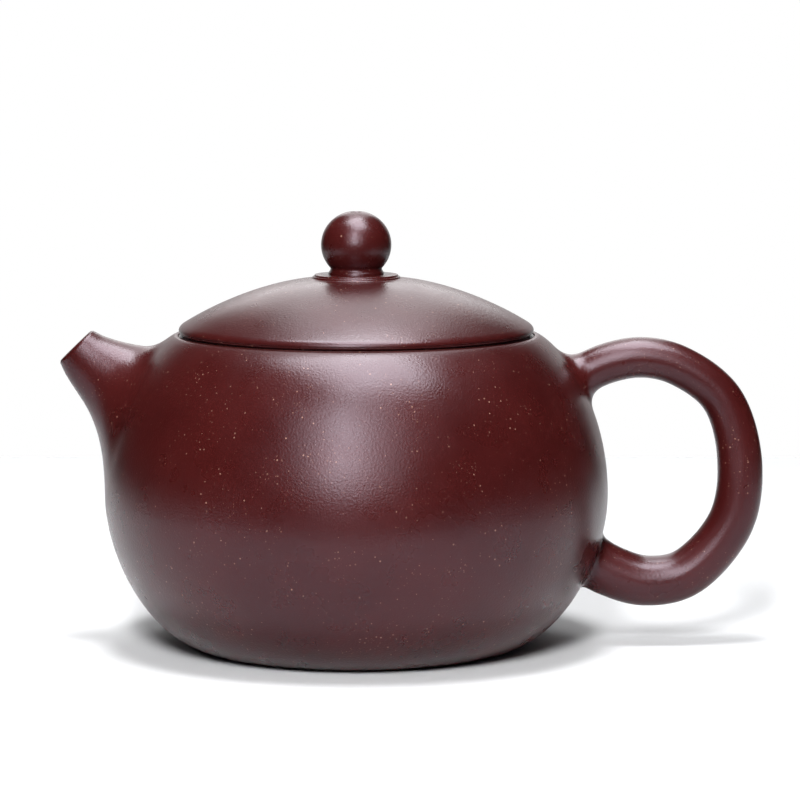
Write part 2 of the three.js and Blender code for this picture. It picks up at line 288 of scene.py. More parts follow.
def wheel_tree():
    """Turns the outline it is given about the upright axis, as a piece is turned on a wheel."""
    tree = new_tree(
        "wheel",
        [
            ("Outline points", "NodeSocketInt"),
            ("Sides", "NodeSocketInt"),
            ("Closing distance", "NodeSocketFloat"),
            ("Clay", "NodeSocketMaterial"),
        ],
    )
    given = add_node(tree, "NodeGroupInput").outputs
    columns = arithmetic(tree, "ADD", given["Sides"], 1.0)
    sheet = add_node(
        tree,
        "GeometryNodeMeshGrid",
        {"Vertices X": columns, "Vertices Y": given["Outline points"]},
    )
    index = add_node(tree, "GeometryNodeInputIndex").outputs[0]
    column = arithmetic(
        tree, "FLOOR", arithmetic(tree, "DIVIDE", index, given["Outline points"])
    )
    row = arithmetic(tree, "MODULO", index, given["Outline points"])
    place = add_node(tree, "GeometryNodeInputPosition").outputs[0]
    spot = add_node(
        tree,
        "GeometryNodeSampleIndex",
        {"Geometry": given["Geometry"], "Value": place, "Index": row},
        data_type="FLOAT_VECTOR",
        domain="POINT",
    )
    parts = add_node(tree, "ShaderNodeSeparateXYZ", {0: spot.outputs[0]}).outputs
    turn = arithmetic(
        tree, "DIVIDE", arithmetic(tree, "MULTIPLY", column, math.tau), given["Sides"]
    )
    east = arithmetic(tree, "MULTIPLY", parts[0], arithmetic(tree, "COSINE", turn))
    north = arithmetic(tree, "MULTIPLY", parts[0], arithmetic(tree, "SINE", turn))
    turned_place = add_node(tree, "ShaderNodeCombineXYZ", {0: east, 1: north, 2: parts[2]})
    moved = add_node(
        tree,
        "GeometryNodeSetPosition",
        {"Geometry": sheet.outputs[0], "Position": turned_place.outputs[0]},
    )
    closed = add_node(
        tree,
        "GeometryNodeMergeByDistance",
        {"Geometry": moved.outputs[0], "Distance": given["Closing distance"]},
    )
    close_tree(tree, closed.outputs[0], given["Clay"])
    return tree


def run_tree(name, source, tree, values):
    """Gives the source mesh to the tree, and keeps what comes out as a plain mesh."""
    carrier = add_object(name, source)
    work = carrier.modifiers.new(name, "NODES")
    work.node_group = tree
    sockets = {
        item.name: item.identifier
        for item in tree.interface.items_tree
        if item.item_type == "SOCKET" and item.in_out == "INPUT"
    }
    for label, value in values.items():
        work[sockets[label]] = value
    carrier.update_tag()
    graph = bpy.context.evaluated_depsgraph_get()
    mesh = bpy.data.meshes.new_from_object(carrier.evaluated_get(graph), depsgraph=graph)
    carrier.modifiers.remove(work)
    carrier.data = mesh
    mesh.name = name
    bpy.data.meshes.remove(source)
    return carrier


def turned(name, outline, clay, sides=ROUND_SIDES, closed=True):
    if closed:
        outline = join(outline, outline[0])
    line = bpy.data.meshes.new(name + "_outline")
    line.from_pydata([(r * MM, 0, z * MM) for r, z in outline], [], [])
    values = {
        "Outline points": len(outline),
        "Sides": sides,
        "Closing distance": 0.002 * MM,
        "Clay": clay,
    }
    made = run_tree(name, line, WHEEL, values)
    spots = np.empty(len(made.data.vertices) * 3)
    made.data.vertices.foreach_get("co", spots)
    moved = hand_wobble(spots.reshape(-1, 3) / MM) * MM
    made.data.vertices.foreach_set("co", moved.ravel())
    finish_mesh(made.data)
    return made


WHEEL = wheel_tree()


# ---------------------------------------------------------------- clay

def shader_group(name, inputs, outputs):
    tree = bpy.data.node_groups.new(name, "ShaderNodeTree")
    for label, kind in inputs:
        tree.interface.new_socket(label, in_out="INPUT", socket_type=kind)
    for label, kind in outputs:
        tree.interface.new_socket(label, in_out="OUTPUT", socket_type=kind)
    return tree


def noise(tree, place, per_mm, detail=2.0, roughness=0.5):
    made = add_node(
        tree,
        "ShaderNodeTexNoise",
        {"Vector": place, "Scale": per_mm / MM, "Detail": detail, "Roughness": roughness},
    )
    return made.outputs[0]


def ranged(tree, value, start, end, low_out=0.0, high_out=1.0):
    made = add_node(
        tree,
        "ShaderNodeMapRange",
        {"Value": value, 1: start, 2: end, 3: low_out, 4: high_out},
        interpolation_type="SMOOTHSTEP",
    )
    return made.outputs[0]


def blend_colour(tree, share, first, second):
    made = add_node(
        tree, "ShaderNodeMix", {0: share, 6: first, 7: second}, data_type="RGBA"
    )
    return made.outputs[2]


def sand_group():
    """Grains of sand and mica in the clay: few, pale, and thicker in some places than in others."""
    tree = shader_group(
        "sand",
        [
            ("Place", "NodeSocketVector"),
            ("Spacing", "NodeSocketFloat"),
            ("Size", "NodeSocketFloat"),
            ("Share", "NodeSocketFloat"),
        ],
        [("Grains", "NodeSocketFloat")],
    )
    given = add_node(tree, "NodeGroupInput").outputs
    per_metre = arithmetic(tree, "DIVIDE", 1 / MM, given["Spacing"])
    cells = add_node(
        tree, "ShaderNodeTexVoronoi", {"Vector": given["Place"], "Scale": per_metre}
    )
    chance = add_node(tree, "ShaderNodeSeparateColor", {0: cells.outputs["Color"]}).outputs
    patches = noise(tree, given["Place"], 0.09, 2.0, 0.6)
    gathered = ranged(tree, patches, 0.42, 0.68, 0.25, 1.9)
    wanted = arithmetic(tree, "MULTIPLY", given["Share"], gathered)
    chosen = arithmetic(tree, "LESS_THAN", chance[0], wanted)
    size = arithmetic(tree, "DIVIDE", given["Size"], given["Spacing"])
    size = arithmetic(tree, "MULTIPLY", size, ranged(tree, chance[1], 0.0, 1.0, 0.55, 1.25))
    edge = arithmetic(tree, "MULTIPLY", size, 0.55)
    near = add_node(
        tree,
        "ShaderNodeMapRange",
        {"Value": cells.outputs["Distance"], 1: edge, 2: size, 3: 1.0, 4: 0.0},
        interpolation_type="SMOOTHSTEP",
    ).outputs[0]
    grains = arithmetic(tree, "MULTIPLY", near, chosen)
    grains = arithmetic(tree, "MULTIPLY", grains, ranged(tree, chance[2], 0.0, 1.0, 0.35, 1.0))
    add_node(tree, "NodeGroupOutput", {"Grains": grains})
    return tree


def skin_group():
    """The fine skin of the fired clay: pitting like orange peel, and strokes of the burnishing
    horn that run round the pot."""
    tree = shader_group(
        "skin",
        [
            ("Place", "NodeSocketVector"),
            ("Pitting", "NodeSocketFloat"),
            ("Strokes", "NodeSocketFloat"),
        ],
        [
            ("Height", "NodeSocketFloat"),
            ("Wear", "NodeSocketFloat"),
            ("Cloud", "NodeSocketFloat"),
        ],
    )
    given = add_node(tree, "NodeGroupInput").outputs
    parts = add_node(tree, "ShaderNodeSeparateXYZ", {0: given["Place"]}).outputs
    turn = arithmetic(tree, "ARCTAN2", parts[1], parts[0])
    reach = add_node(
        tree, "ShaderNodeVectorMath", {0: given["Place"]}, operation="LENGTH"
    ).outputs["Value"]
    # A turn counts for little, so the strokes are drawn out long the way round.
    round_way = arithmetic(tree, "MULTIPLY", turn, 6.0 * MM)
    stroke_place = add_node(
        tree, "ShaderNodeCombineXYZ", {0: round_way, 1: parts[2], 2: reach}
    ).outputs[0]
    strokes = noise(tree, stroke_place, 0.8, 2.0, 0.5)
    pits = noise(tree, given["Place"], 2.5, 1.5, 0.5)
    peel = arithmetic(tree, "MULTIPLY", pits, given["Pitting"])
    drawn = arithmetic(tree, "MULTIPLY", strokes, given["Strokes"])
    outputs = {
        "Height": arithmetic(tree, "ADD", peel, drawn),
        "Wear": noise(tree, given["Place"], 0.12, 3.0, 0.55),
        "Cloud": noise(tree, given["Place"], 0.045, 3.0, 0.55),
    }
    add_node(tree, "NodeGroupOutput", outputs)
    return tree


SAND = sand_group()
SKIN = skin_group()


def clay_material(name, deep, warm, grain_colour, roughness, pitting, strokes, sand_share):
    made = bpy.data.materials.new(name)
    made.use_nodes = True
    tree = made.node_tree
    tree.nodes.clear()
    place = add_node(tree, "ShaderNodeTexCoord").outputs["Object"]
    skin = add_node(
        tree,
        "ShaderNodeGroup",
        {"Place": place, "Pitting": pitting, "Strokes": strokes},
        node_tree=SKIN,
    )
    masks = []
    for spacing, size, share in ((0.95, 0.17, sand_share), (0.5, 0.09, sand_share * 0.8)):
        sand = add_node(
            tree,
            "ShaderNodeGroup",
            {"Place": place, "Spacing": spacing, "Size": size, "Share": share},
            node_tree=SAND,
        )
        masks.append(sand.outputs["Grains"])
    coarse, fine = masks
    grains = arithmetic(tree, "MAXIMUM", coarse, arithmetic(tree, "MULTIPLY", fine, 0.7))
    cloud = ranged(tree, skin.outputs["Cloud"], 0.3, 0.7)
    body = blend_colour(tree, cloud, (*deep, 1), (*warm, 1))
    colour = blend_colour(tree, grains, body, (*grain_colour, 1))
    rough = ranged(
        tree, skin.outputs["Wear"], 0.35, 0.65, roughness - 0.02, roughness + 0.02
    )
    bump = add_node(
        tree,
        "ShaderNodeBump",
        {"Height": skin.outputs["Height"], "Strength": 1.0, "Distance": 0.036 * MM},
    )
    shader = add_node(
        tree,
        "ShaderNodeBsdfPrincipled",
        {"Base Color": colour, "Roughness": rough, "Normal": bump.outputs[0]},
    )
    shader.inputs["IOR"].default_value = 1.44
    shader.inputs["Specular Tint"].default_value = (0.9, 0.87, 1.0, 1)
    add_node(tree, "ShaderNodeOutputMaterial", {"Surface": shader.outputs[0]})
    return made


BURNISHED = clay_material(
    "burnished_zisha",
    deep=(0.032, 0.0033, 0.0031),
    warm=(0.042, 0.0049, 0.0045),
    grain_colour=(0.23, 0.12, 0.09),
    roughness=0.29,
    pitting=1.0,
    strokes=0.3,
    sand_share=0.4,
)
SCRAPED = clay_material(
    "scraped_zisha",
    deep=(0.05, 0.0095, 0.008),
    warm=(0.068, 0.0135, 0.011),
    grain_colour=(0.26, 0.12, 0.08),
    roughness=0.55,
    pitting=2.2,
    strokes=2.0,
    sand_share=0.5,
)


# ---------------------------------------------------------------- turned pieces of the pot

def foot():
    ring_inside = STAND_RADIUS - RING_WIDTH
    joint = stretch(LOWER_SIDE, BASE_JOINT - 0.02, BASE_JOINT, 3, WALL)[-1]
    underside = softened(
        [
            (0, HOLLOW_HEIGHT),
            (ring_inside - 2.6, HOLLOW_HEIGHT, 1.6),
            (ring_inside, 0, 0.9),
            (STAND_RADIUS, 0),
        ],
        closed=False,
    )
    inside = softened(
        [tuple(joint), (STAND_RADIUS, FLOOR_HEIGHT, 3.0), (0, FLOOR_HEIGHT)], closed=False
    )
    outline = join(underside, stretch(LOWER_SIDE, 0, BASE_JOINT, 16)[1:], inside)
    return turned("foot", outline, BURNISHED, closed=False)


def opening_place():
    """The opening behind the spout: its centre on the outside of the wall, and the way out."""
    height = RIM_HEIGHT - OPENING_DROP
    row = int(np.searchsorted(UPPER_SIDE[:, 1], height))
    along = UPPER_SIDE[row] - UPPER_SIDE[row - 1]
    along /= np.linalg.norm(along)
    centre = np.array([-UPPER_SIDE[row, 0], 0.0, UPPER_SIDE[row, 1]])
    return centre, np.array([-along[1], 0.0, -along[0]])


def round_cutter(name, centre, way, radius, length, sides=64):
    way = way / np.linalg.norm(way)
    third = np.cross(way, ACROSS)
    spots = []
    for end in (-0.5, 0.5):
        for side in range(sides):
            turn = math.tau * side / sides
            rim = ACROSS * math.cos(turn) + third * math.sin(turn)
            spots.append(centre + way * end * length + rim * radius)
    faces = ring_faces(2, sides)
    faces += [tuple(range(sides))[::-1], tuple(range(sides, 2 * sides))]
    mesh = bpy.data.meshes.new(name)
    mesh.from_pydata([tuple(spot * MM) for spot in spots], [], faces)
    finish_mesh(mesh)
    return add_object(name, mesh)


def cut(piece, cutter):
    work = piece.modifiers.new("cut", "BOOLEAN")
    work.operation = "DIFFERENCE"
    work.solver = "EXACT"
    work.object = cutter
    graph = bpy.context.evaluated_depsgraph_get()
    mesh = bpy.data.meshes.new_from_object(piece.evaluated_get(graph), depsgraph=graph)
    piece.modifiers.remove(work)
    piece.data = mesh
    used = cutter.data
    bpy.data.objects.remove(cutter)
    bpy.data.meshes.remove(used)
    return piece


def paddled_wall():
    outside = join(
        stretch(LOWER_SIDE, BASE_JOINT, 1, 54),
        stretch(UPPER_SIDE, 0, SHOULDER_JOINT, 54)[1:],
    )
    inside = join(
        stretch(LOWER_SIDE, BASE_JOINT, 1, 22, WALL),
        stretch(UPPER_SIDE, 0, SHOULDER_JOINT, 22, WALL)[1:],
    )
    made = turned("paddled_wall", join(outside, inside[::-1]), BURNISHED)
    centre, way = opening_place()
    cut(made, round_cutter("opening", centre, way, OPENING_RADIUS, 4 * WALL))
    finish_mesh(made.data)
    return made


def shoulder():
    outside = stretch(UPPER_SIDE, SHOULDER_JOINT, 0.985, 22)
    rim_out, rim_up = outside[-1]
    inner_joint = stretch(UPPER_SIDE, SHOULDER_JOINT, SHOULDER_JOINT + 0.02, 3, WALL)[0]
    under_rim = stretch(UPPER_SIDE, 0.9, 0.92, 3, WALL)[0]
    groove = RIM_HEIGHT - 0.35
    rim = softened(
        [
            (rim_out, rim_up),
            (RIM_RADIUS - 0.5, RIM_HEIGHT - 0.01, 0.4),
            (RIM_RADIUS - 0.62, groove, 0.1),
            (SEAT_RADIUS, groove),
        ],
        closed=False,
    )
    inside = softened(
        [
            (SEAT_RADIUS, SEAT_BOTTOM),
            (MOUTH_RADIUS, SEAT_BOTTOM),
            (MOUTH_RADIUS, MOUTH_UNDERSIDE, 0.5),
            (SEAT_RADIUS, MOUTH_UNDERSIDE, 0.8),
            tuple(under_rim),
            tuple(inner_joint),
        ],
        closed=False,
    )
    return turned("shoulder", join(outside, rim[1:], inside), BURNISHED)


def mouth_seat():
    outline = softened([
        (MOUTH_RADIUS, SEAT_BOTTOM),
        (SEAT_RADIUS, SEAT_BOTTOM),
        (SEAT_RADIUS, SEAT_HEIGHT, 0.12),
        (MOUTH_RADIUS, SEAT_HEIGHT, 0.45),
    ])
    return turned("mouth_seat", outline, SCRAPED)


# ---------------------------------------------------------------- turned pieces of the lid

def dome_side(count):
    out, up = slope(32, 7.6)
    crown_out, crown_up = slope(3.4, 8.2)
    edge = (DOME_RADIUS - 0.86, LIP_TOP + 1.24)
    crown = (COLLAR_RADIUS, CROWN_HEIGHT)
    return bezier(
        [edge, (edge[0] - out, edge[1] + up), (crown[0] + crown_out, crown[1] - crown_up), crown],
        count,
    )


def dome():
    """The lid's dome, hollow underneath, with its edge rolled down to the lip plate."""
    side = dome_side(90)
    edge = side[0]
    rolled = bezier(
        [
            (DOME_RADIUS - 0.04, LIP_TOP + 0.04),
            (DOME_RADIUS + 0.02, LIP_TOP + 0.5),
            (edge[0] + 0.4, edge[1] - 0.25),
            tuple(edge),
        ],
        12,
    )
    foot_edge = [(DOME_RADIUS - 0.12, LIP_TOP)]
    inside = offset(side, LID_WALL)
    inside = inside[inside[:, 0] < FLANGE_INSIDE][::4]
    outline = join(
        [(FLANGE_INSIDE, LIP_TOP)],
        foot_edge,
        rolled,
        side[1:],
        [(COLLAR_RADIUS - 0.4, CROWN_HEIGHT), (VENT_RADIUS, CROWN_HEIGHT)],
        [(VENT_RADIUS, CROWN_HEIGHT - LID_WALL)],
        inside[::-1],
    )
    return turned("dome", outline, BURNISHED)


def lip_plate():
    outline = softened([
        (FLANGE_INSIDE, LIP_BOTTOM),
        (LIP_RADIUS - 0.3, LIP_BOTTOM + 0.02, 0.1),
        (LIP_RADIUS, LIP_BOTTOM + 0.26, 0.1),
        (LIP_RADIUS - 0.01, LIP_TOP, 0.07),
        (LIP_RADIUS - 0.5, LIP_TOP),
        (FLANGE_INSIDE, LIP_TOP),
    ])
    return turned("lip_plate", outline, BURNISHED)


def flange():
    outline = softened([
        (FLANGE_INSIDE, FLANGE_BOTTOM, 0.7),
        (FLANGE_OUTSIDE, FLANGE_BOTTOM, 0.7),
        (FLANGE_OUTSIDE, LIP_BOTTOM),
        (FLANGE_INSIDE, LIP_BOTTOM),
    ])
    return turned("flange", outline, SCRAPED)


def collar():
    outline = softened([
        (VENT_RADIUS, CROWN_HEIGHT),
        (COLLAR_RADIUS + 0.35, CROWN_HEIGHT - 0.04),
        (COLLAR_RADIUS - 0.04, CROWN_HEIGHT + 0.12, 0.2),
        (COLLAR_RADIUS - 0.1, CROWN_HEIGHT + 0.42, 0.1),
        (COLLAR_RADIUS - 0.42, CROWN_HEIGHT + 0.46, 0.1),
        (COLLAR_RADIUS - 0.48, COLLAR_TOP - 0.06, 0.14),
        (COLLAR_RADIUS - 1.5, COLLAR_TOP, 0.4),
        (VENT_RADIUS, COLLAR_TOP),
    ])
    return turned("collar", outline, BURNISHED, SMALL_SIDES)


def ball():
    neck_radius = 4.98
    flat = 0.963
    neck_height = COLLAR_TOP + 1.25
    start = math.pi - math.asin(neck_radius / KNOB_RADIUS)
    centre = neck_height - KNOB_RADIUS * flat * math.cos(start)
    end = math.asin((VENT_RADIUS + 0.55) / KNOB_RADIUS)
    angles = np.linspace(start, end, 60)
    side = np.stack(
        [KNOB_RADIUS * np.sin(angles), centre + KNOB_RADIUS * flat * np.cos(angles)], axis=1
    )
    vent_edge = softened(
        [tuple(side[-1]), (VENT_RADIUS, side[-1][1] + 0.02, 0.5), (VENT_RADIUS, COLLAR_TOP)],
        closed=False,
    )
    bead = bezier(
        [
            (neck_radius + 0.36, COLLAR_TOP),
            (neck_radius + 0.4, COLLAR_TOP + 0.55),
            (neck_radius - 0.2, neck_height - 0.5),
            (neck_radius, neck_height),
        ],
        12,
    )
    return turned("ball", join(bead, side[1:], vent_edge[1:]), BURNISHED, SMALL_SIDES)


# ---------------------------------------------------------------- spout and handle

def wall_distance(spots):
    """How far points are outside the wall, less than nothing for those inside."""
    line = join(LOWER_SIDE[::5], UPPER_SIDE[5::5])
    start, run = line[:-1], np.diff(line, axis=0)
    length = (run**2).sum(axis=1)
    out = np.empty(len(spots))
    reach = np.stack([np.hypot(spots[:, 0], spots[:, 1]), spots[:, 2]], axis=1)
    for first in range(0, len(spots), 4000):
        part = reach[first:first + 4000, None, :] - start
        share = np.clip((part * run).sum(axis=2) / length, 0, 1)
        away = part - share[..., None] * run
        distance = np.hypot(away[..., 0], away[..., 1])
        near = distance.argmin(axis=1)
        rows = np.arange(len(near))
        side = run[near, 0] * away[rows, near, 1] - run[near, 1] * away[rows, near, 0]
        out[first:first + 4000] = np.where(side < 0, 1, -1) * distance[rows, near]
    return out


class Limb:
    """A round limb on a bent axis in the upright middle plane, thicker at one end."""

    def __init__(self, axis, radii, narrowing=1.0):
        """The radii are (share of the length, radius) pairs."""
        self.axis = np.asarray(axis, float)
        steps = np.linalg.norm(np.diff(self.axis, axis=0), axis=1)
        self.along = np.concatenate([[0], np.cumsum(steps)])
        self.length = self.along[-1]
        self.shares, self.radii = np.array(radii, float).T
        self.narrowing = narrowing
        self.slant = math.cos(math.atan2(abs(self.radii[-1] - self.radii[0]), self.length))

    def radius(self, along):
        return np.interp(along, self.shares * self.length, self.radii)

    def place(self, along):
        along = np.clip(along, 0, self.length)
        x = np.interp(along, self.along, self.axis[:, 0])
        z = np.interp(along, self.along, self.axis[:, 2])
        return np.stack([x, np.zeros_like(x), z], axis=-1)

    def way(self, along):
        step = 0.2
        run = self.place(np.asarray(along) + step) - self.place(np.asarray(along) - step)
        return run / np.linalg.norm(run, axis=-1)[..., None]

    def distance(self, spots):
        flat = self.axis[:, [0, 2]]
        start, run = flat[:-1], np.diff(flat, axis=0)
        length = (run**2).sum(axis=1)
        part = spots[:, None, [0, 2]] - start
        share = np.clip((part * run).sum(axis=2) / length, 0, 1)
        away = part - share[..., None] * run
        distance = (away**2).sum(axis=2)
        near = distance.argmin(axis=1)
        rows = np.arange(len(near))
        along = self.along[near] + share[rows, near] * np.sqrt(length[near])
        reach = np.sqrt(distance[rows, near] + (spots[:, 1] / self.narrowing) ** 2)
        return (reach - self.radius(along)) * self.slant

    def ring(self, along, angles, scale=1.0):
        """Points round the limb: angle 0 is on the outside of its bend."""
        centre, way = self.place(along), self.way(along)
        outwards = np.cross(way, ACROSS)
        radius = self.radius(along) * scale
        return (
            centre
            + np.cos(angles)[:, None] * outwards * radius
            + np.sin(angles)[:, None] * ACROSS * radius * self.narrowing
        )


def smooth_union(first, second, width):
    """The distance to two shapes joined by a fillet that starts a width away from the corner."""
    overlap = np.maximum(width - np.abs(first - second), 0) / width
    return np.minimum(first, second) - overlap**2 * width / 4


def settle(spots, distance, rounds=5):
    """Moves points onto the surface where the distance is nothing."""
    step = 0.02
    for _ in range(rounds):
        here = distance(spots)
        rise = np.empty_like(spots)
        for axis in range(3):
            nudge = np.zeros(3)
            nudge[axis] = step
            rise[:, axis] = (distance(spots + nudge) - here) / step
        spots = spots - rise * (here / np.maximum((rise**2).sum(axis=1), 0.05))[:, None]
    return spots


def footprint(limb, root, width, angles, farthest=30.0):
    """Where the fillet of a limb runs out on the wall: one point of the wall for each angle."""
    way = limb.way(root)
    outwards = np.cross(way, ACROSS)
    aim = np.cos(angles)[:, None] * outwards + np.sin(angles)[:, None] * ACROSS
    centre = limb.place(root)
    near = np.zeros(len(angles))
    far = np.full(len(angles), farthest)
    for _ in range(18):
        middle = (near + far) / 2
        spots = settle(centre + aim * middle[:, None], wall_distance, 3)
        inside = limb.distance(spots) < width
        near = np.where(inside, middle, near)
        far = np.where(inside, far, middle)
    return settle(centre + aim * near[:, None], wall_distance, 6)


def fillet_rings(limb, root, edge, width, angles, count):
    """Rings from the footprint on the wall to the plain part of a limb."""
    start = footprint(limb, root, width, angles)
    end = limb.ring(edge, angles)
    corner = limb.ring(root, angles, 1.0)
    rings = [start]

    def distance(spots):
        return smooth_union(wall_distance(spots), limb.distance(spots), width)

    for t in np.linspace(0, 1, count)[1:]:
        guess = (1 - t) ** 2 * start + 2 * (1 - t) * t * corner + t**2 * end
        rings.append(settle(guess, distance))
    return rings


def buried(ring, centre, depth):
    """A copy of a ring that lies inside the wall, a little nearer to the limb's axis."""
    inwards = np.stack([-ring[:, 0], -ring[:, 1], np.zeros(len(ring))], axis=1)
    inwards /= np.linalg.norm(inwards, axis=1)[:, None]
    return ring + inwards * depth + (centre - ring) * 0.04


def spout_limb():
    """The spout leaves the wall square to it and bends up to a steep tip, just under the rim."""
    tip = np.array([low("spout", "x") + 3.0, 0, RIM_HEIGHT - 2.2])
    lift_out, lift_up = slope(52, 6.4)
    bend = tip + [lift_out, 0, -lift_up]
    centre, way = opening_place()
    root = centre - way * 7.5
    t = np.linspace(0, 1, 161)[:, None]
    axis = (1 - t) ** 2 * root + 2 * (1 - t) * t * bend + t**2 * tip
    radii = [(0, 12.4), (0.55, 7.65), (0.75, 6.1), (1, TIP_RADIUS)]
    return Limb(axis, radii, SPOUT_FLATTENING)


def tip_ring(limb, edge, along, angles, scale=1.0):
    """A ring near the tip, where the clay is cut a little flatter than square to the limb."""
    tilt = TIP_TILT * float(np.clip((along - edge) / (limb.length - edge), 0, 1))
    centre = limb.place(along)
    x, y, z = (limb.ring(along, angles, scale) - centre).T
    out = x * math.cos(tilt) - z * math.sin(tilt)
    up = x * math.sin(tilt) + z * math.cos(tilt)
    return centre + np.stack([out, y, up], axis=1)


def pouring_spout():
    limb = spout_limb()
    angles = np.linspace(0, math.tau, 128, endpoint=False)
    crossing = np.argmax(wall_distance(limb.place(limb.along)) > 0)
    root = limb.along[crossing]
    centre = limb.place(root)
    edge = limb.length - TIP_LENGTH
    lip = limb.length - TIP_ROUNDING
    width = 6.0 + 2.9 * np.cos(angles) - 0.7 * np.cos(2 * angles)
    rings = fillet_rings(limb, root, edge, width, angles, 44)
    rings = [buried(rings[0], centre, 1.2), buried(rings[0], centre, 0.12)] + rings
    for along in np.linspace(edge, lip, 8)[1:]:
        rings.append(tip_ring(limb, edge, along, angles))
    bore = TIP_RADIUS - TIP_WALL
    middle = (TIP_RADIUS + bore) / 2
    for turn in np.linspace(0, math.pi, 11)[1:]:
        along = lip + TIP_ROUNDING * math.sin(turn)
        radius = middle + (TIP_RADIUS - middle) * math.cos(turn)
        rings.append(tip_ring(limb, edge, along, angles, radius / limb.radius(along)))
    inner_end = root - 1.2
    for along in np.linspace(limb.length - 0.5, inner_end, 14):
        share = (limb.length - along) / limb.length
        radius = bore + (BORE_AT_ROOT - bore) * share
        rings.append(tip_ring(limb, edge, along, angles, radius / limb.radius(along)))
    faces = ring_faces(len(rings), len(angles))
    last = (len(rings) - 1) * len(angles)
    for side in range(len(angles)):
        after = (side + 1) % len(angles)
        faces.append((last + side, last + after, after, side))
    return shaped("pouring_spout", np.concatenate(rings), faces, BURNISHED)


def between(first, second, t, start, end):
    return ((end - t) * first + (t - start) * second) / (end - start)


def smooth_line(corners, per_span=24):
    """A centripetal curve through points, as a bent strip of clay takes."""
    spots = np.asarray(corners, float)
    spots = np.concatenate([[2 * spots[0] - spots[1]], spots, [2 * spots[-1] - spots[-2]]])
    line = []
    for i in range(len(spots) - 3):
        a, b, c, d = spots[i:i + 4]
        knots = np.cumsum([0] + [np.linalg.norm(q - p) ** 0.5 for p, q in ((a, b), (b, c), (c, d))])
        for t in np.linspace(knots[1], knots[2], per_span, endpoint=False):
            ab = between(a, b, t, knots[0], knots[1])
            bc = between(b, c, t, knots[1], knots[2])
            cd = between(c, d, t, knots[2], knots[3])
            abc = between(ab, bc, t, knots[0], knots[2])
            bcd = between(bc, cd, t, knots[1], knots[3])
            line.append(between(abc, bcd, t, knots[1], knots[2]))
    line.append(spots[-2])
    return np.array(line)


HANDLE_TOP = RIM_HEIGHT - 4.5
HANDLE_LOW = 12.4
HANDLE_REACH = 25.3
# The handle's middle line, as shares of its reach from the wall and of its height.
HANDLE_BOW = [
    (0, 0.975), (0.26, 1), (0.53, 0.965), (0.862, 0.82), (1.006, 0.55),
    (0.945, 0.266), (0.6, 0.035), (0.28, 0), (0, 0.05),
]


def wall_radius(height):
    line = join(LOWER_SIDE, UPPER_SIDE[1:])
    return float(np.interp(height, line[:, 1], line[:, 0]))


def handle_limb():
    corners = [
        (GIRTH_RADIUS + HANDLE_REACH * out, 0, HANDLE_LOW + (HANDLE_TOP - HANDLE_LOW) * up)
        for out, up in HANDLE_BOW
    ]
    # Both ends start a little inside the wall.
    sunk = 2.5
    top_root = HANDLE_TOP - 4.7
    low_root = HANDLE_LOW + 5.1
    start = (wall_radius(top_root) - sunk, 0, top_root)
    end = (wall_radius(low_root) - sunk, 0, low_root)
    radii = [(0, 3.88), (0.33, 3.92), (0.5, 4.33), (0.67, 4.52), (1, 5.12)]
    return Limb(smooth_line([start, *corners, end]), radii, 0.99)


def ear_handle():
    limb = handle_limb()
    angles = np.linspace(0, math.tau, 96, endpoint=False)
    outside = wall_distance(limb.place(limb.along)) > 0
    top = limb.along[np.argmax(outside)]
    end = limb.along[len(outside) - 1 - np.argmax(outside[::-1])]
    top_edge, low_edge = top + 13.0, end - 7.0
    top_rings = fillet_rings(limb, top, top_edge, 3.6, angles, 40)
    low_rings = fillet_rings(limb, end, low_edge, 1.6, angles, 30)
    top_centre, low_centre = limb.place(top), limb.place(end)
    rings = [buried(top_rings[0], top_centre, depth) for depth in (1.0, 0.1)]
    rings += top_rings
    for along in np.linspace(top_edge, low_edge, 150)[1:-1]:
        rings.append(limb.ring(along, angles))
    rings += low_rings[::-1]
    rings += [buried(low_rings[0], low_centre, depth) for depth in (0.1, 1.0)]
    faces = ring_faces(len(rings), len(angles))
    count = len(angles)
    last = (len(rings) - 1) * count
    faces += [tuple(range(count))[::-1], tuple(range(last, last + count))]
    return shaped("ear_handle", np.concatenate(rings), faces, BURNISHED)


# ---------------------------------------------------------------- strainer

